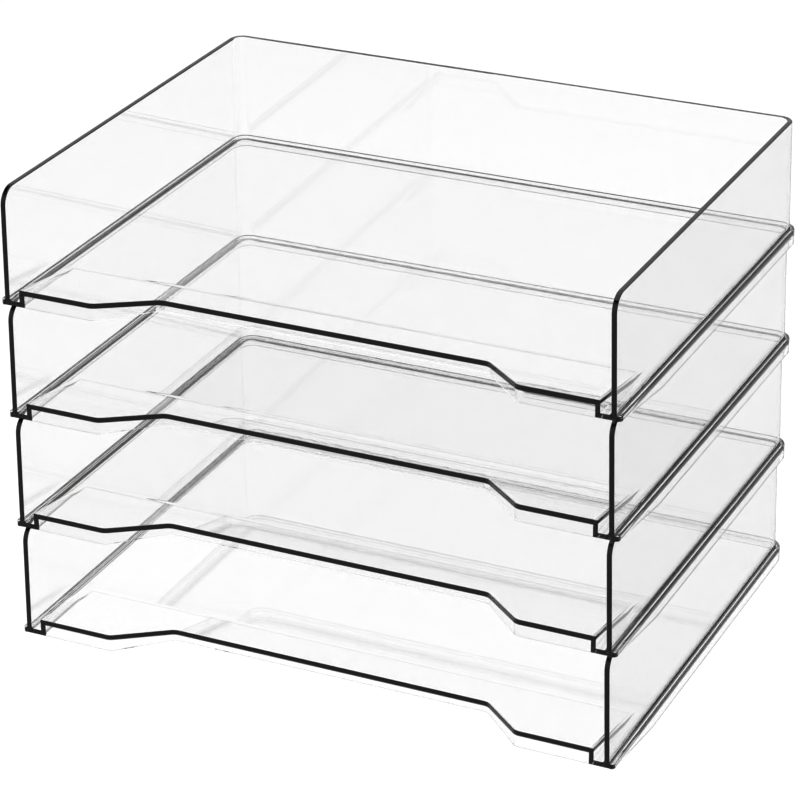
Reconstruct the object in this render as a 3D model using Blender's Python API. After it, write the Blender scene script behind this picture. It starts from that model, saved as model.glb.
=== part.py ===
"""A stack of four clear plastic letter trays, each a single moulding.

Metres, +Z up, the open fronts of the trays facing -Y. Each tray is a flat floor plate whose last
stretch rises as a ramp to the front edge, three walls that stand a little inside the plate's edge and
lean in slightly, and a base rim under that edge. The rim drops around the wall tops of the tray below,
so that the trays locate on each other and lift straight off.
"""

import math

import bmesh
import bpy

# Stack
TRAY_COUNT = 4
PITCH = 0.0620          # height from one tray's floor plate to the next one's
REST_GAP = 0.0003       # left between a wall top and the plate that rests on it

# Tray as a whole
WIDTH = 0.3298
DEPTH = 0.2516
SHEET = 0.0026          # thickness of the floor plate, the ramp and the walls
CORNER_RADIUS = 0.0110  # plan radius of the plate's back corners
FRONT_RADIUS = 0.0024   # plan radius of its front corners, less than the ledge

# Walls
LEDGE = 0.0025          # how far the plate stands out past the wall's foot
WALL_LEAN = 0.0011      # how far each wall's top stands in from its foot
WALL_CORNER = 0.0090    # radius of each side wall's upper front corner

# Base rim under the plate's side and back edges
RIM_DROP = 0.0055
RIM_THICK = 0.0016
RIM_FRONT_DROP = 0.0003
RIM_RISE_LENGTH = 0.0530  # the rim's lower edge rises to the front over this length

# Front ramp between the two side channels
RAMP_WIDTH = 0.3083
RAMP_HEIGHT = 0.0092
RAMP_LENGTH = 0.0500
SKIRT_THICK = 0.0016    # the upright skirt that closes the ramp's front

# Finger cut-out in the ramp's front edge
CUT_OUTER_HALF = 0.1130
CUT_INNER_HALF = 0.0880
CUT_DEPTH = 0.0240
CUT_RADIUS = 0.0060

# Clear polystyrene
CLEAR_COLOUR = (0.93, 0.94, 0.95, 1.0)
CLEAR_ROUGHNESS = 0.04
CLEAR_IOR = 1.58

ARC_STEPS = 8
SPARE = 0.010           # how far a cutter runs past what it cuts

WALL_HEIGHT = PITCH - REST_GAP
HALF_WIDTH = WIDTH / 2
RAMP_HALF = RAMP_WIDTH / 2
RAMP_SLOPE = (RAMP_HEIGHT - SHEET) / RAMP_LENGTH


def clear_scene():
    for thing in list(bpy.data.objects):
        bpy.data.objects.remove(thing, do_unlink=True)


def new_collection(name):
    collection = bpy.data.collections.new(name)
    bpy.context.scene.collection.children.link(collection)
    return collection


def rounded(corners):
    """The outline through corners given as (x, y, radius), each turned with an arc of that radius."""
    points = []
    count = len(corners)
    for index, (x, y, radius) in enumerate(corners):
        if radius == 0:
            points.append((x, y))
            continue
        before = corners[index - 1]
        after = corners[(index + 1) % count]
        to_before = math.atan2(before[1] - y, before[0] - x)
        to_after = math.atan2(after[1] - y, after[0] - x)
        opening = (to_after - to_before + math.pi) % (2 * math.pi) - math.pi
        reach = radius / math.tan(abs(opening) / 2)
        middle = to_before + opening / 2
        to_centre = math.hypot(reach, radius)
        centre_x = x + to_centre * math.cos(middle)
        centre_y = y + to_centre * math.sin(middle)
        start_x = x + reach * math.cos(to_before)
        start_y = y + reach * math.sin(to_before)
        start = math.atan2(start_y - centre_y, start_x - centre_x)
        turn = math.copysign(math.pi - abs(opening), -opening)
        for step in range(ARC_STEPS + 1):
            angle = start + turn * step / ARC_STEPS
            points.append((centre_x + radius * math.cos(angle), centre_y + radius * math.sin(angle)))
    return points


def prism(name, outline, low, high, collection):
    """A flat outline given thickness between two heights, as a closed mesh."""
    curve = bpy.data.curves.new(name, "CURVE")
    curve.dimensions = "2D"
    curve.fill_mode = "BOTH"
    curve.extrude = (high - low) / 2
    spline = curve.splines.new("POLY")
    spline.points.add(len(outline) - 1)
    for point, (x, y) in zip(spline.points, outline):
        point.co = (x, y, 0, 1)
    spline.use_cyclic_u = True
    flat = bpy.data.objects.new(name + "_outline", curve)
    collection.objects.link(flat)
    mesh = bpy.data.meshes.new_from_object(flat.evaluated_get(bpy.context.evaluated_depsgraph_get()))
    bpy.data.objects.remove(flat, do_unlink=True)
    bpy.data.curves.remove(curve)
    mesh.name = name
    middle = (low + high) / 2
    for vertex in mesh.vertices:
        vertex.co.z += middle
    weld(mesh)
    solid = bpy.data.objects.new(name, mesh)
    collection.objects.link(solid)
    return solid


def side_prism(name, outline, low, high, collection):
    """The same for an outline in Y and Z, with its thickness along X."""
    solid = prism(name, outline, low, high, collection)
    for vertex in solid.data.vertices:
        y, z, x = vertex.co
        vertex.co = (x, y, z)
    return solid


def weld(mesh):
    shape = bmesh.new()
    shape.from_mesh(mesh)
    bmesh.ops.remove_doubles(shape, verts=shape.verts, dist=0.00001)
    bmesh.ops.recalc_face_normals(shape, faces=shape.faces)
    shape.to_mesh(mesh)
    shape.free()


def as_cutter(thing):
    thing.hide_render = True
    thing.display_type = "WIRE"
    return thing


def combine(thing, operation, other):
    """A Boolean on thing, which keeps other as its hidden operand."""
    as_cutter(other)
    step = thing.modifiers.new(operation.title() + "_" + other.name, "BOOLEAN")
    step.operation = operation
    step.solver = "EXACT"
    step.object = other


def back_rounded(inset, front):
    """The tray's plan outline moved in by inset, square at the front and rounded at the back."""
    half = HALF_WIDTH - inset
    back = DEPTH - inset
    radius = CORNER_RADIUS - inset
    return rounded([(-half, front, 0), (half, front, 0), (half, back, radius), (-half, back, radius)])


def lean_in(solid, height, amount):
    """Moves the vertices at height inward, square to the outline, and leaves the open front alone."""
    core_half = HALF_WIDTH - CORNER_RADIUS
    core_back = DEPTH - CORNER_RADIUS
    for vertex in solid.data.vertices:
        if abs(vertex.co.z - height) > SHEET / 2:
            continue
        toward_x = max(-core_half, min(core_half, vertex.co.x)) - vertex.co.x
        toward_y = min(core_back, vertex.co.y) - vertex.co.y
        length = math.hypot(toward_x, toward_y)
        vertex.co.x += amount * toward_x / length
        vertex.co.y += amount * toward_y / length


def make_base(cutters):
    """The floor plate with the base rim: an upright band under its edge, shallower to the front."""
    base = prism("base", back_rounded(0, -SPARE), -RIM_DROP, SHEET, cutters)
    inside = prism("rim_inside", back_rounded(RIM_THICK, -2 * SPARE), -RIM_DROP - SPARE, 0, cutters)
    combine(base, "DIFFERENCE", inside)
    rise = (RIM_DROP - RIM_FRONT_DROP) / RIM_RISE_LENGTH
    profile = [
        (-2 * SPARE, -RIM_DROP - SPARE),
        (RIM_RISE_LENGTH + SPARE, -RIM_DROP - SPARE),
        (RIM_RISE_LENGTH + SPARE, -RIM_DROP - rise * SPARE),
        (-2 * SPARE, -RIM_FRONT_DROP + rise * 2 * SPARE),
    ]
    combine(base, "DIFFERENCE", side_prism("rim_rise", profile, -WIDTH, WIDTH, cutters))
    return base


def make_walls(cutters):
    """The side and back walls: a leaning shell, open at the front, with rounded upper front corners."""
    foot = SHEET / 2
    walls = prism("walls", back_rounded(LEDGE, -SPARE), foot, WALL_HEIGHT, cutters)
    lean_in(walls, WALL_HEIGHT, WALL_LEAN)
    low, high = foot - SPARE, WALL_HEIGHT + SPARE
    extra = WALL_LEAN * SPARE / (WALL_HEIGHT - foot)
    inside = prism("walls_inside", back_rounded(LEDGE + SHEET - extra, -2 * SPARE), low, high, cutters)
    lean_in(inside, high, WALL_LEAN + 2 * extra)
    combine(walls, "DIFFERENCE", inside)
    arc = []
    for step in range(ARC_STEPS + 1):
        angle = math.pi - math.pi / 2 * step / ARC_STEPS
        y = WALL_CORNER + WALL_CORNER * math.cos(angle)
        arc.append((y, WALL_HEIGHT - WALL_CORNER + WALL_CORNER * math.sin(angle)))
    lead_y = arc[0][0] - (arc[1][0] - arc[0][0]) * ARC_STEPS
    lead_z = arc[0][1] - (arc[1][1] - arc[0][1]) * ARC_STEPS
    corner = [(WALL_CORNER, high), (-2 * SPARE, high), (-2 * SPARE, lead_z), (lead_y, lead_z), *arc[1:]]
    combine(walls, "DIFFERENCE", side_prism("wall_corners", corner, -WIDTH, WIDTH, cutters))
    return walls


def ramp_top(y):
    return RAMP_HEIGHT - RAMP_SLOPE * y


def make_ramp(cutters):
    """The wedge over which the floor rises to the front edge."""
    end = RAMP_LENGTH + SHEET / 2 / RAMP_SLOPE
    profile = [(-SPARE, SHEET / 2), (end, SHEET / 2), (-SPARE, ramp_top(-SPARE))]
    return side_prism("ramp", profile, -RAMP_HALF, RAMP_HALF, cutters)


def front_line(outer_half, inner_half, depth, front):
    """The corners of the front edge from left to right, with the finger cut-out in the middle."""
    return [
        (-outer_half, front, CUT_RADIUS),
        (-inner_half, depth, CUT_RADIUS),
        (inner_half, depth, CUT_RADIUS),
        (outer_half, front, CUT_RADIUS),
    ]


def make_ramp_hollow(cutters):
    """The space under the ramp, which leaves a sheet on top, two side steps and the front skirt."""
    half = RAMP_HALF - SHEET
    shift = SKIRT_THICK * math.tan(math.atan2(CUT_DEPTH, CUT_OUTER_HALF - CUT_INNER_HALF) / 2)
    line = front_line(CUT_OUTER_HALF + shift, CUT_INNER_HALF + shift, CUT_DEPTH + SKIRT_THICK, SKIRT_THICK)
    corners = [(-half, SKIRT_THICK, 0), *line, (half, SKIRT_THICK, 0)]
    corners += [(half, 2 * RAMP_LENGTH, 0), (-half, 2 * RAMP_LENGTH, 0)]
    hollow = prism("ramp_hollow", rounded(corners), -SPARE, RAMP_HEIGHT, cutters)
    under = SHEET * math.hypot(1, RAMP_SLOPE)
    end = (RAMP_HEIGHT - under) / RAMP_SLOPE
    profile = [
        (-SPARE, ramp_top(-SPARE) - under),
        (-SPARE, -SPARE / 2),
        (end, -SPARE / 2),
        (end, 0),
    ]
    wedge = side_prism("ramp_hollow_wedge", profile, -WIDTH, WIDTH, cutters)
    combine(hollow, "INTERSECT", wedge)
    return hollow


def front_corner(side):
    """A rounded front corner from the outside in, which comes in along its first chord's line."""
    points = []
    for step in range(ARC_STEPS + 1):
        angle = math.pi / 2 * step / ARC_STEPS
        x = HALF_WIDTH - FRONT_RADIUS + FRONT_RADIUS * math.cos(angle)
        points.append((side * x, FRONT_RADIUS - FRONT_RADIUS * math.sin(angle)))
    lead_x = points[0][0] - (points[1][0] - points[0][0]) * ARC_STEPS
    lead_y = points[0][1] - (points[1][1] - points[0][1]) * ARC_STEPS
    return [(lead_x, lead_y), *points[1:-1]]


def make_front_trim(cutters):
    """Everything in front of the front edge, with the finger cut-out's outline."""
    near = -3 * SPARE
    start = HALF_WIDTH - FRONT_RADIUS
    corners = front_line(CUT_OUTER_HALF, CUT_INNER_HALF, CUT_DEPTH, 0)
    line = rounded([(-start, 0, 0), *corners, (start, 0, 0)])
    left, right = front_corner(-1), front_corner(1)
    outline = [(-WIDTH, near), (-WIDTH, left[0][1]), *left, *line]
    outline += [*reversed(right), (WIDTH, right[0][1]), (WIDTH, near)]
    return prism("front_trim", outline, near, WALL_HEIGHT + 3 * SPARE, cutters)


def clear_plastic():
    material = bpy.data.materials.new("clear_polystyrene")
    material.use_nodes = True
    shader = material.node_tree.nodes["Principled BSDF"]
    shader.inputs["Base Color"].default_value = CLEAR_COLOUR
    shader.inputs["Roughness"].default_value = CLEAR_ROUGHNESS
    shader.inputs["Metallic"].default_value = 0.0
    shader.inputs["IOR"].default_value = CLEAR_IOR
    shader.inputs["Transmission Weight"].default_value = 1.0
    return material


def make_tray_mesh(cutters):
    """One tray's mesh: its front edge at y = 0, centred on x = 0, the plate's underside at z = 0."""
    tray = make_base(cutters)
    combine(tray, "UNION", make_ramp(cutters))
    combine(tray, "DIFFERENCE", make_ramp_hollow(cutters))
    combine(tray, "UNION", make_walls(cutters))
    combine(tray, "DIFFERENCE", make_front_trim(cutters))
    bpy.context.view_layer.update()
    mesh = bpy.data.meshes.new_from_object(tray.evaluated_get(bpy.context.evaluated_depsgraph_get()))
    mesh.name = "letter_tray"
    as_cutter(tray)
    return mesh


def main():
    clear_scene()
    trays = new_collection("letter_trays")
    cutters = new_collection("cutters")
    mesh = make_tray_mesh(cutters)
    mesh.materials.clear()
    mesh.materials.append(clear_plastic())
    for tier in range(TRAY_COUNT):
        tray = bpy.data.objects.new("tray_%d" % (tier + 1), mesh)
        tray.location = (0, -DEPTH / 2, RIM_DROP + tier * PITCH)
        trays.objects.link(tray)


main()
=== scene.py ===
"""The look of the stack of four clear letter trays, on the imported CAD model."""

import math

import bmesh
import bpy
from mathutils import Matrix, Vector


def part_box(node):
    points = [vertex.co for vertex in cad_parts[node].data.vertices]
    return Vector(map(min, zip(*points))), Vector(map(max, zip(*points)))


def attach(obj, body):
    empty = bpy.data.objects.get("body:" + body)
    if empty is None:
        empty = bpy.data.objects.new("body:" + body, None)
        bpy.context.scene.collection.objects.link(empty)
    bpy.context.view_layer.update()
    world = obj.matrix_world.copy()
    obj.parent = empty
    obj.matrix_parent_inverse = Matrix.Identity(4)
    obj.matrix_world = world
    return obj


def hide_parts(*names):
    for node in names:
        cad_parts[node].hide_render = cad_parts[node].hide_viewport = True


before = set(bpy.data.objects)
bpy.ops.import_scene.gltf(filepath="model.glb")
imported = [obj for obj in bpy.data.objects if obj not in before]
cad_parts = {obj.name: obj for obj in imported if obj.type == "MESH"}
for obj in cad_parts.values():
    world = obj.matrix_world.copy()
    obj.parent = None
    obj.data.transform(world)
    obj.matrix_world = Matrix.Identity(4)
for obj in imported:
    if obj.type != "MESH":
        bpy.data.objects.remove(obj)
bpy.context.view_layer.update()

# The tray, in metres, read from the bottom tray and the one above it
TRAYS = sorted(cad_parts)
first_low, first_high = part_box(TRAYS[0])
second_low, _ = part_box(TRAYS[1])
WIDTH = first_high.x - first_low.x
DEPTH = first_high.y - first_low.y
PITCH = second_low.z - first_low.z
RIM_DROP = 0.0055
WALL_HEIGHT = first_high.z - first_low.z - RIM_DROP

# Details of the tray that the box doesn't give
SHEET = 0.0026
CORNER_RADIUS = 0.0110
FRONT_RADIUS = 0.0024
LEDGE = 0.0025          # how far the floor plate stands out past the wall's foot
WALL_LEAN = 0.0011
WALL_CORNER = 0.0090
RIM_THICK = 0.0016
RIM_START = 0.0030      # where the base rim begins behind the front edge
RIM_RISE_LENGTH = 0.0530
RAMP_WIDTH = 0.3083
RAMP_HEIGHT = 0.0092
RAMP_LENGTH = 0.0500
RAMP_CURVE = 0.0010     # half the length over which the ramp turns into the floor
SKIRT_THICK = 0.0016
CUT_OUTER_HALF = 0.1130
CUT_INNER_HALF = 0.0880
CUT_DEPTH = 0.0240
CUT_RADIUS = 0.0060

# Roundings, which the CAD leaves out
EDGE_RADIUS = 0.0005
WALL_FOOT_RADIUS = 0.0014
LEDGE_FILLET = 0.0010
RIM_FILLET = 0.0012
STEP_RADIUS = 0.0015
STEP_ROUND_END = 0.0350   # how far back the step beside the hollow is rounded
RAMP_ROUND_END = 0.0425   # and the ramp's own sides
RIM_ROUND_START = 0.0150  # where the rim is deep enough to be rounded inside

# Plastic
PLASTIC_COLOUR = (1.0, 1.0, 1.0)
# Painted shade: the narrow edges of the clear sheet are tinted dark, standing in for the dark lines that bent
# light shows there
PAINTED_EDGE_SHADE_COLOUR = (0.1, 0.1, 0.1)
REFRACTION = 1.58
ABSORB_COLOUR = (0.62, 0.62, 0.62)
ABSORB_DENSITY = 60.0
WAVE_SCALE = 55.0
WAVE_DETAIL = 2.0
WAVE_HEIGHT = 0.00001
PATCH_SCALE = 30.0
PATCH_DETAIL = 4.0
PATCH_RANGE = (0.4, 0.8)
PATCH_ROUGHNESS = 0.015

# Room: the greys of the world by height, from -1 straight down to 1 straight up
SURROUND = [(-0.05, 0.8), (0.05, 1.1), (0.6, 1.1), (0.8, 0.06)]
FLOOR_SIZE = 12
FLOOR_GREY = 0.9
FLOOR_ROUGHNESS = 0.9
LAMP_PLACE = (0, 0.2, 2.6)
LAMP_SIZE = 3.0
LAMP_POWER = 50

# Camera and picture
CAMERA_PLACE = Vector((0.6482, -1.3834, 0.8496))
CAMERA_AZIMUTH = math.radians(25.32)
CAMERA_ELEVATION = math.radians(25.66)
CAMERA_ROLL = math.radians(-0.60)
CAMERA_LENS = 147.5
EXPOSURE = 0.12
GAMMA = 0.65
GLASS_BOUNCES = 40
GLOSSY_BOUNCES = 12
DIFFUSE_BOUNCES = 4

# Modelling
SWEPT = 0.0090          # how far in from the outline the swept section reaches
SHARP = math.radians(30)
FLAT = math.radians(0.2)
ARC_STEPS = 16
CURVE_STEPS = 6
FILLET_STEPS = 5
BEVEL_STEPS = 4
SPARE = 0.010           # how far a cutter runs past what it cuts
FIT = 0.0001
WELD = 0.000002
THIN = 0.000001
NEAR = 0.00065          # how near its line an edge has to lie to be picked out
ROUND_PROFILE = 0.5

# How far a face's normal leans, by its component
SLIGHT = 0.15
SLANTED = 0.2
STEEP = 0.5
LEVEL = 0.98

HALF_WIDTH = WIDTH / 2
RAMP_HALF = RAMP_WIDTH / 2
RAMP_SLOPE = (RAMP_HEIGHT - SHEET) / RAMP_LENGTH
CORE_BACK = DEPTH - CORNER_RADIUS


def rounded(corners, steps=ARC_STEPS):
    """The outline through corners given as (x, y, radius), each turned with an arc of that radius."""
    points = []
    count = len(corners)
    for index, (x, y, radius) in enumerate(corners):
        if radius == 0:
            points.append((x, y))
            continue
        before = corners[index - 1]
        after = corners[(index + 1) % count]
        to_before = math.atan2(before[1] - y, before[0] - x)
        to_after = math.atan2(after[1] - y, after[0] - x)
        opening = (to_after - to_before + math.pi) % (2 * math.pi) - math.pi
        reach = radius / math.tan(abs(opening) / 2)
        middle = to_before + opening / 2
        to_centre = math.hypot(reach, radius)
        centre_x = x + to_centre * math.cos(middle)
        centre_y = y + to_centre * math.sin(middle)
        start_x = x + reach * math.cos(to_before)
        start_y = y + reach * math.sin(to_before)
        start = math.atan2(start_y - centre_y, start_x - centre_x)
        turn = math.copysign(math.pi - abs(opening), -opening)
        for step in range(steps + 1):
            angle = start + turn * step / steps
            points.append((centre_x + radius * math.cos(angle), centre_y + radius * math.sin(angle)))
    return points


def prism(name, outline, low, high):
    """A flat outline given thickness between two heights."""
    shape = bmesh.new()
    face = shape.faces.new([shape.verts.new((x, y, low)) for x, y in outline])
    grown = bmesh.ops.extrude_face_region(shape, geom=[face])
    top = [part for part in grown["geom"] if isinstance(part, bmesh.types.BMVert)]
    bmesh.ops.translate(shape, verts=top, vec=(0, 0, high - low))
    bmesh.ops.recalc_face_normals(shape, faces=shape.faces)
    mesh = bpy.data.meshes.new(name)
    shape.to_mesh(mesh)
    shape.free()
    solid = bpy.data.objects.new(name, mesh)
    bpy.context.scene.collection.objects.link(solid)
    return solid


def side_prism(name, outline, low, high):
    """The same for an outline in Y and Z, with its thickness along X."""
    solid = prism(name, outline, low, high)
    for vertex in solid.data.vertices:
        y, z, x = vertex.co
        vertex.co = (x, y, z)
    return solid


def combine(thing, operation, other):
    """Applies a Boolean to thing and removes its operand."""
    step = thing.modifiers.new(operation, "BOOLEAN")
    step.operation = operation
    step.solver = "EXACT"
    step.object = other
    settle(thing)
    bpy.data.objects.remove(other, do_unlink=True)


def settle(thing):
    """Puts the result of thing's modifiers in its mesh."""
    bpy.context.view_layer.update()
    mesh = bpy.data.meshes.new_from_object(thing.evaluated_get(bpy.context.evaluated_depsgraph_get()))
    thing.modifiers.clear()
    thing.data = mesh


def section():
    """A wall with the floor's edge and the base rim, as (distance in from the outline, height)."""
    foot, top = LEDGE, LEDGE + WALL_LEAN
    return rounded(
        [
            (SWEPT, 0, 0),
            (RIM_THICK, 0, RIM_FILLET),
            (RIM_THICK, -RIM_DROP, 0),
            (0, -RIM_DROP, 0),
            (0, SHEET, 0),
            (foot, SHEET, LEDGE_FILLET),
            (top, WALL_HEIGHT, 0),
            (top + SHEET, WALL_HEIGHT, 0),
            (foot + SHEET, SHEET, WALL_FOOT_RADIUS),
            (SWEPT, SHEET, 0),
        ],
        FILLET_STEPS,
    )


def make_body():
    """The section carried round the sides and back, closed with the floor plate between."""
    core_half = HALF_WIDTH - CORNER_RADIUS
    turns = [math.pi / 2 * step / ARC_STEPS for step in range(ARC_STEPS + 1)]
    stations = [(-core_half, -SPARE, math.pi)]
    stations += [(-core_half, CORE_BACK, math.pi - turn) for turn in turns]
    stations += [(core_half, CORE_BACK, math.pi / 2 - turn) for turn in turns]
    stations += [(core_half, -SPARE, 0)]
    profile = section()
    shape = bmesh.new()
    rings = []
    for x, y, angle in stations:
        ring = []
        for inset, height in profile:
            reach = CORNER_RADIUS - inset
            ring.append(shape.verts.new((x + reach * math.cos(angle), y + reach * math.sin(angle), height)))
        rings.append(ring)
    for ring, after in zip(rings, rings[1:]):
        for index in range(len(profile) - 1):
            shape.faces.new((ring[index], ring[index + 1], after[index + 1], after[index]))
    shape.faces.new([ring[0] for ring in rings])
    shape.faces.new([ring[-1] for ring in rings])
    shape.faces.new([*rings[0], *reversed(rings[-1])])
    bmesh.ops.recalc_face_normals(shape, faces=shape.faces)
    mesh = bpy.data.meshes.new("body")
    shape.to_mesh(mesh)
    shape.free()
    body = bpy.data.objects.new("body", mesh)
    bpy.context.scene.collection.objects.link(body)
    return body


def make_rise():
    """What comes off the base rim, whose lower edge rises to the floor's underside at the front."""
    profile = [
        (-2 * SPARE, 0),
        (-2 * SPARE, -RIM_DROP - SPARE),
        (RIM_RISE_LENGTH + SPARE, -RIM_DROP - SPARE),
        (RIM_RISE_LENGTH, -RIM_DROP),
        (RIM_START, 0),
    ]
    return side_prism("rise", profile, -WIDTH, WIDTH)


def make_wall_corners():
    """What comes off the side walls, whose upper front corners are rounded."""
    arc = []
    for step in range(ARC_STEPS + 1):
        angle = math.pi - math.pi / 2 * step / ARC_STEPS
        y = WALL_CORNER + WALL_CORNER * math.cos(angle)
        arc.append((y, WALL_HEIGHT - WALL_CORNER + WALL_CORNER * math.sin(angle)))
    lead_y = arc[0][0] - (arc[1][0] - arc[0][0]) * ARC_STEPS
    lead_z = arc[0][1] - (arc[1][1] - arc[0][1]) * ARC_STEPS
    high = WALL_HEIGHT + SPARE
    corner = [(WALL_CORNER, high), (-2 * SPARE, high), (-2 * SPARE, lead_z), (lead_y, lead_z), *arc[1:]]
    return side_prism("corners", corner, -WIDTH, WIDTH)


def ramp_line():
    """The top of the ramp from front to back, as (y, z), with the curve in which it runs out."""
    last = RAMP_LENGTH + RAMP_CURVE
    points = [(-SPARE, RAMP_HEIGHT + RAMP_SLOPE * SPARE)]
    for step in range(CURVE_STEPS + 1):
        y = last - 2 * RAMP_CURVE * (1 - step / CURVE_STEPS)
        points.append((y, SHEET + RAMP_SLOPE * (last - y) ** 2 / (4 * RAMP_CURVE)))
    before, end = points[-2:]
    points[-1] = (2 * end[0] - before[0], 2 * end[1] - before[1])
    return points


def make_ramp():
    """The wedge over which the floor rises to the front edge."""
    line = ramp_line()
    profile = [(-SPARE, SHEET / 2), (line[-1][0], SHEET / 2), *reversed(line)]
    return side_prism("ramp", profile, -RAMP_HALF, RAMP_HALF)


def front_line(outer_half, inner_half, depth, front):
    """The corners of the front edge from left to right, with the finger cut-out in the middle."""
    return [
        (-outer_half, front, CUT_RADIUS),
        (-inner_half, depth, CUT_RADIUS),
        (inner_half, depth, CUT_RADIUS),
        (outer_half, front, CUT_RADIUS),
    ]


def make_ramp_hollow():
    """The space under the ramp, which leaves a sheet on top, two side steps and the front skirt."""
    half = RAMP_HALF - SHEET
    shift = SKIRT_THICK * math.tan(math.atan2(CUT_DEPTH, CUT_OUTER_HALF - CUT_INNER_HALF) / 2)
    line = front_line(CUT_OUTER_HALF + shift, CUT_INNER_HALF + shift, CUT_DEPTH + SKIRT_THICK, SKIRT_THICK)
    corners = [(-half, SKIRT_THICK, 0), *line, (half, SKIRT_THICK, 0)]
    corners += [(half, 2 * RAMP_LENGTH, 0), (-half, 2 * RAMP_LENGTH, 0)]
    hollow = prism("hollow", rounded(corners), -SPARE, RAMP_HEIGHT)
    under = [(y, z - SHEET) for y, z in ramp_line()]
    profile = [(-SPARE, -SPARE / 2), (under[-1][0], -SPARE / 2), *reversed(under)]
    combine(hollow, "INTERSECT", side_prism("wedge", profile, -WIDTH, WIDTH))
    return hollow


def front_corner(side):
    """A rounded front corner from the outside in, which comes in along its first chord's line."""
    points = []
    for step in range(ARC_STEPS + 1):
        angle = math.pi / 2 * step / ARC_STEPS
        x = HALF_WIDTH - FRONT_RADIUS + FRONT_RADIUS * math.cos(angle)
        points.append((side * x, FRONT_RADIUS - FRONT_RADIUS * math.sin(angle)))
    lead_x = points[0][0] - (points[1][0] - points[0][0]) * ARC_STEPS
    lead_y = points[0][1] - (points[1][1] - points[0][1]) * ARC_STEPS
    return [(lead_x, lead_y), *points[1:-1]]


def make_front_trim():
    """Everything in front of the front edge, with the finger cut-out's outline."""
    near = -3 * SPARE
    start = HALF_WIDTH - FRONT_RADIUS
    corners = front_line(CUT_OUTER_HALF, CUT_INNER_HALF, CUT_DEPTH, 0)
    line = rounded([(-start, 0, 0), *corners, (start, 0, 0)])
    left, right = front_corner(-1), front_corner(1)
    outline = [(-WIDTH, near), (-WIDTH, left[0][1]), *left, *line]
    outline += [*reversed(right), (WIDTH, right[0][1]), (WIDTH, near)]
    return prism("trim", outline, near, WALL_HEIGHT + 3 * SPARE)


def make_tray_mesh():
    """One tray, with its floor's underside at z = 0 and its front edge along y = 0."""
    tray = make_body()
    combine(tray, "DIFFERENCE", make_rise())
    combine(tray, "UNION", make_ramp())
    combine(tray, "DIFFERENCE", make_ramp_hollow())
    combine(tray, "DIFFERENCE", make_wall_corners())
    combine(tray, "DIFFERENCE", make_front_trim())
    shape = bmesh.new()
    shape.from_mesh(tray.data)
    bmesh.ops.remove_doubles(shape, verts=shape.verts, dist=WELD)
    bmesh.ops.dissolve_limit(shape, angle_limit=FLAT, verts=shape.verts, edges=shape.edges)
    cut_across(shape, RAMP_HALF, STEP_ROUND_END)
    cut_across(shape, RAMP_HALF, RAMP_ROUND_END)
    cut_across(shape, HALF_WIDTH, RIM_ROUND_START)
    round_edges(shape, at_step_bottom, STEP_RADIUS)
    round_edges(shape, is_outer, EDGE_RADIUS)
    for vertex in shape.verts:
        vertex.co.y = max(vertex.co.y, 0)
    paint_edge_shade(shape)
    shape.to_mesh(tray.data)
    shape.free()
    mesh = tray.data
    bpy.data.objects.remove(tray, do_unlink=True)
    return mesh


def cut_across(shape, x, y):
    """Divides the faces and edges near x on either side at y."""
    near = [face for face in shape.faces if abs(abs(face.calc_center_median().x) - x) < 2 * SHEET]
    verts = dict.fromkeys(vertex for face in near for vertex in face.verts)
    edges = dict.fromkeys(edge for face in near for edge in face.edges)
    bmesh.ops.bisect_plane(
        shape, geom=[*verts, *edges, *near], plane_co=(0, y, 0), plane_no=(0, 1, 0), dist=THIN,
    )


def at_step_bottom(edge, middle):
    """The lower edge of the step beside the hollow, as far back as the step is high enough."""
    side = abs(abs(middle.x) - RAMP_HALF + SHEET) < NEAR
    along = abs(edge.verts[0].co.x - edge.verts[1].co.x) < NEAR
    return edge.is_convex and abs(middle.z) < NEAR and side and along and middle.y < STEP_ROUND_END


def is_outer(edge, middle):
    """Any outer edge, but not under the ramp or where the ramp's side, the rim or a front corner runs out."""
    side = abs(abs(middle.x) - RAMP_HALF + SHEET / 2) < SHEET and 0 < middle.z
    ramp_end = side and RAMP_ROUND_END < middle.y < RAMP_LENGTH * 2
    inside = abs(middle.x) < HALF_WIDTH - RIM_THICK / 2
    rim_end = inside and middle.z < -THIN and middle.y < RIM_ROUND_START
    front_corner_end = abs(middle.x) > HALF_WIDTH - LEDGE + LEDGE_FILLET / 3 and middle.y < FRONT_RADIUS
    runs_out = ramp_end or rim_end or front_corner_end
    return edge.is_convex and not runs_out and not under_ramp(middle)


def under_ramp(middle):
    """Whether an edge is a lower edge of the hollow under the ramp."""
    inside = abs(middle.x) < RAMP_HALF - SHEET / 2 and SKIRT_THICK / 2 < middle.y < RAMP_LENGTH + 2 * SHEET
    return inside and middle.z < NEAR


def round_edges(shape, test, radius):
    """Rounds the sharp edges that test picks out."""
    sharp = []
    for edge in shape.edges:
        if edge.is_manifold and edge.calc_face_angle() > SHARP:
            if test(edge, (edge.verts[0].co + edge.verts[1].co) / 2):
                sharp.append(edge)
    bmesh.ops.bevel(
        shape, geom=sharp, offset=radius, offset_type="OFFSET", segments=BEVEL_STEPS,
        profile=ROUND_PROFILE, affect="EDGES", clamp_overlap=False,
    )


def on_ledge(face):
    """Whether a face is on top of the ledge outside the walls."""
    side, back = HALF_WIDTH - LEDGE - FIT, DEPTH - LEDGE - FIT
    outside = all(abs(vertex.co.x) > side or vertex.co.y > back for vertex in face.verts)
    height = face.calc_center_bounds().z
    return outside and face.normal.z > SLANTED and SHEET - EDGE_RADIUS < height < SHEET + LEDGE_FILLET


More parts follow.
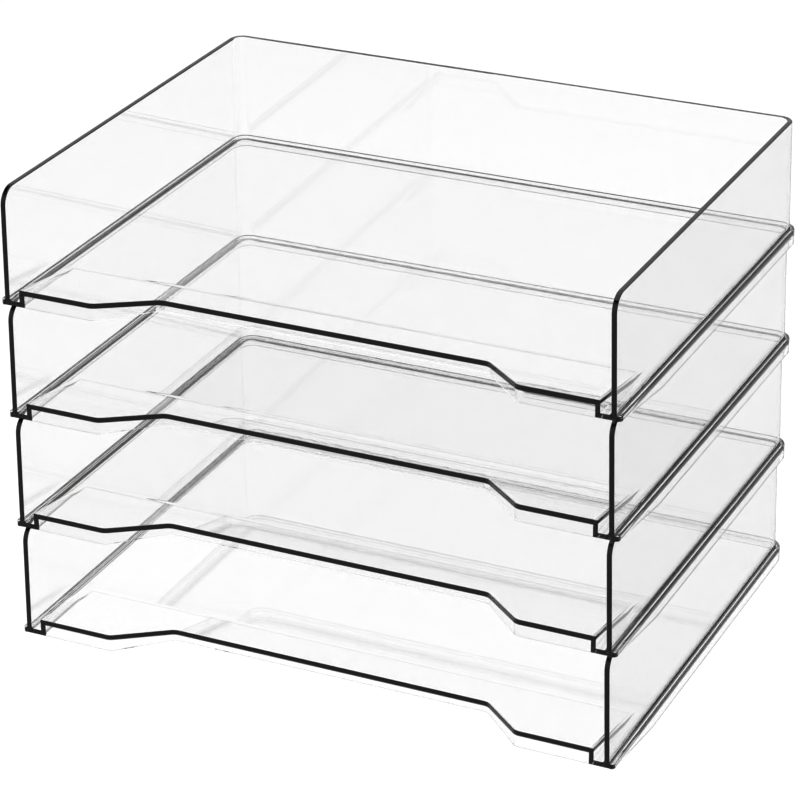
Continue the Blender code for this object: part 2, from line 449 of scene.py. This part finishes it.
def gets_painted_edge_shade(place, normal):
    """Whether a face at place is a narrow edge of the sheet, which is painted dark: seen end-on, clear sheet
    looks dark from the light it bends, and the dark tint paints that shade on.
    """
    if place.z > WALL_HEIGHT - EDGE_RADIUS:
        return place.y < CORE_BACK
    if place.z < -RIM_DROP / 2 and normal.z < -STEEP:
        return True
    if place.z < EDGE_RADIUS and -LEVEL < normal.z < -SLANTED and abs(place.x) < RAMP_HALF - SHEET:
        return place.y < CUT_DEPTH + EDGE_RADIUS
    to_front, to_top = WALL_CORNER - place.y, place.z - WALL_HEIGHT + WALL_CORNER
    if to_front > 0 and to_top > 0:
        return math.hypot(to_front, to_top) > WALL_CORNER - EDGE_RADIUS
    if abs(place.x) > RAMP_HALF - SHEET:
        return place.y < EDGE_RADIUS
    forward = normal.y < -SLIGHT and place.y < CUT_DEPTH + EDGE_RADIUS
    return forward and place.z > RAMP_HEIGHT - SHEET - RAMP_SLOPE * place.y


def paint_edge_shade(shape):
    """Gives the narrow edges, and the ledge tops along the sides, the second material slot, whose dark tint
    is painted shade.

    The front is split along the ramp's underside, and the tops of the ledge and walls at the back corners.
    """
    forward = [face for face in shape.faces if face.normal.y < -STEEP]
    bmesh.ops.bisect_plane(
        shape, geom=[*shape.verts, *shape.edges, *forward],
        plane_co=(0, 0, RAMP_HEIGHT - SHEET), plane_no=(0, RAMP_SLOPE, 1), dist=THIN,
    )
    wall_top = WALL_HEIGHT - EDGE_RADIUS
    tops = [face for face in shape.faces if on_ledge(face) or face.calc_center_bounds().z > wall_top]
    top_verts = dict.fromkeys(vertex for face in tops for vertex in face.verts)
    top_edges = dict.fromkeys(edge for face in tops for edge in face.edges)
    bmesh.ops.bisect_plane(
        shape, geom=[*top_verts, *top_edges, *tops],
        plane_co=(0, CORE_BACK, 0), plane_no=(0, 1, 0), dist=THIN,
    )
    for face in shape.faces:
        place = face.calc_center_bounds()
        beside = on_ledge(face) and place.y < CORE_BACK
        # Painted shade: the side ledge tops and the narrow edges take the dark slot
        face.material_index = int(beside or gets_painted_edge_shade(place, face.normal))


def clear_plastic(name, colour):
    """Moulded clear plastic: faintly wavy, and a little less glossy in patches. Its base colour is colour,
    white for the plastic itself and dark painted shade for the edges' copy.
    """
    material = bpy.data.materials.new(name)
    material.use_nodes = True
    nodes = material.node_tree.nodes
    links = material.node_tree.links
    shader = nodes["Principled BSDF"]
    shader.inputs["Base Color"].default_value = (*colour, 1.0)
    shader.inputs["IOR"].default_value = REFRACTION
    shader.inputs["Transmission Weight"].default_value = 1.0
    place = nodes.new("ShaderNodeTexCoord")
    waves = nodes.new("ShaderNodeTexNoise")
    waves.inputs["Scale"].default_value = WAVE_SCALE
    waves.inputs["Detail"].default_value = WAVE_DETAIL
    links.new(place.outputs["Object"], waves.inputs["Vector"])
    bump = nodes.new("ShaderNodeBump")
    bump.inputs["Distance"].default_value = WAVE_HEIGHT
    links.new(waves.outputs["Fac"], bump.inputs["Height"])
    links.new(bump.outputs["Normal"], shader.inputs["Normal"])
    patches = nodes.new("ShaderNodeTexNoise")
    patches.inputs["Scale"].default_value = PATCH_SCALE
    patches.inputs["Detail"].default_value = PATCH_DETAIL
    links.new(place.outputs["Object"], patches.inputs["Vector"])
    gloss = nodes.new("ShaderNodeMapRange")
    gloss.inputs["From Min"].default_value = PATCH_RANGE[0]
    gloss.inputs["From Max"].default_value = PATCH_RANGE[1]
    gloss.inputs["To Max"].default_value = PATCH_ROUGHNESS
    links.new(patches.outputs["Fac"], gloss.inputs["Value"])
    links.new(gloss.outputs["Result"], shader.inputs["Roughness"])
    absorb = nodes.new("ShaderNodeVolumeAbsorption")
    absorb.inputs["Color"].default_value = (*ABSORB_COLOUR, 1.0)
    absorb.inputs["Density"].default_value = ABSORB_DENSITY
    links.new(absorb.outputs["Volume"], nodes["Material Output"].inputs["Volume"])
    return material


def make_trays():
    """One mesh in four places. Shadows and bounced light pass the trays, as on a lit white ground."""
    mesh = make_tray_mesh()
    mesh.materials.append(clear_plastic("clear_polystyrene", PLASTIC_COLOUR))
    # The second slot is the same plastic tinted dark: painted shade for the narrow edges
    mesh.materials.append(clear_plastic("clear_polystyrene_painted_shade_edge", PAINTED_EDGE_SHADE_COLOUR))
    for index, name in enumerate(TRAYS):
        low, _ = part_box(name)
        piece = bpy.data.objects.new(name + "_clear", mesh)
        piece.location = (0, low.y, low.z + RIM_DROP)
        bpy.context.scene.collection.objects.link(piece)
        piece.visible_shadow = False
        piece.visible_diffuse = False
        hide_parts(name)
        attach(piece, name)


def make_floor():
    bpy.ops.mesh.primitive_plane_add(size=FLOOR_SIZE, location=(0, 0, 0))
    floor = bpy.context.object
    floor.name = "floor"
    material = bpy.data.materials.new("floor_paint")
    material.use_nodes = True
    shader = material.node_tree.nodes["Principled BSDF"]
    shader.inputs["Base Color"].default_value = (FLOOR_GREY, FLOOR_GREY, FLOOR_GREY, 1.0)
    shader.inputs["Roughness"].default_value = FLOOR_ROUGHNESS
    shader.inputs["Specular IOR Level"].default_value = 0.0
    floor.data.materials.append(material)
    floor.visible_glossy = False


def make_world():
    """What the plastic reflects: a pale floor, a white wall up to a height of 0.6, and a dark ceiling."""
    world = bpy.data.worlds.new("studio")
    bpy.context.scene.world = world
    world.use_nodes = True
    nodes = world.node_tree.nodes
    links = world.node_tree.links
    place = nodes.new("ShaderNodeTexCoord")
    split = nodes.new("ShaderNodeSeparateXYZ")
    upright = nodes.new("ShaderNodeMapRange")
    upright.inputs["From Min"].default_value = -1.0
    ramp = nodes.new("ShaderNodeValToRGB")
    links.new(place.outputs["Generated"], split.inputs["Vector"])
    links.new(split.outputs["Z"], upright.inputs["Value"])
    links.new(upright.outputs["Result"], ramp.inputs["Fac"])
    links.new(ramp.outputs["Color"], nodes["Background"].inputs["Color"])
    stops = ramp.color_ramp.elements
    for _ in SURROUND[2:]:
        stops.new(0.5)
    for stop, (height, grey) in zip(stops, SURROUND):
        stop.position = (1 + height) / 2
        stop.color = (grey, grey, grey, 1)


def make_lights():
    data = bpy.data.lights.new("overhead", "AREA")
    data.shape = "RECTANGLE"
    data.size = LAMP_SIZE
    data.size_y = LAMP_SIZE
    data.energy = LAMP_POWER
    lamp = bpy.data.objects.new("overhead", data)
    lamp.location = LAMP_PLACE
    bpy.context.scene.collection.objects.link(lamp)


def make_camera():
    data = bpy.data.cameras.new("camera")
    data.lens = CAMERA_LENS
    camera = bpy.data.objects.new("camera", data)
    turn = Matrix.Rotation(CAMERA_AZIMUTH, 4, "Z") @ Matrix.Rotation(math.pi / 2 - CAMERA_ELEVATION, 4, "X")
    camera.matrix_world = Matrix.Translation(CAMERA_PLACE) @ turn @ Matrix.Rotation(CAMERA_ROLL, 4, "Z")
    bpy.context.scene.collection.objects.link(camera)
    bpy.context.scene.camera = camera


def set_picture():
    scene = bpy.context.scene
    scene.view_settings.view_transform = "Standard"
    scene.view_settings.exposure = EXPOSURE
    scene.view_settings.gamma = GAMMA
    scene.cycles.max_bounces = GLASS_BOUNCES
    scene.cycles.transmission_bounces = GLASS_BOUNCES
    scene.cycles.glossy_bounces = GLOSSY_BOUNCES
    scene.cycles.transparent_max_bounces = GLASS_BOUNCES
    scene.cycles.diffuse_bounces = DIFFUSE_BOUNCES


make_trays()
make_floor()
make_world()
make_lights()
make_camera()
set_picture()
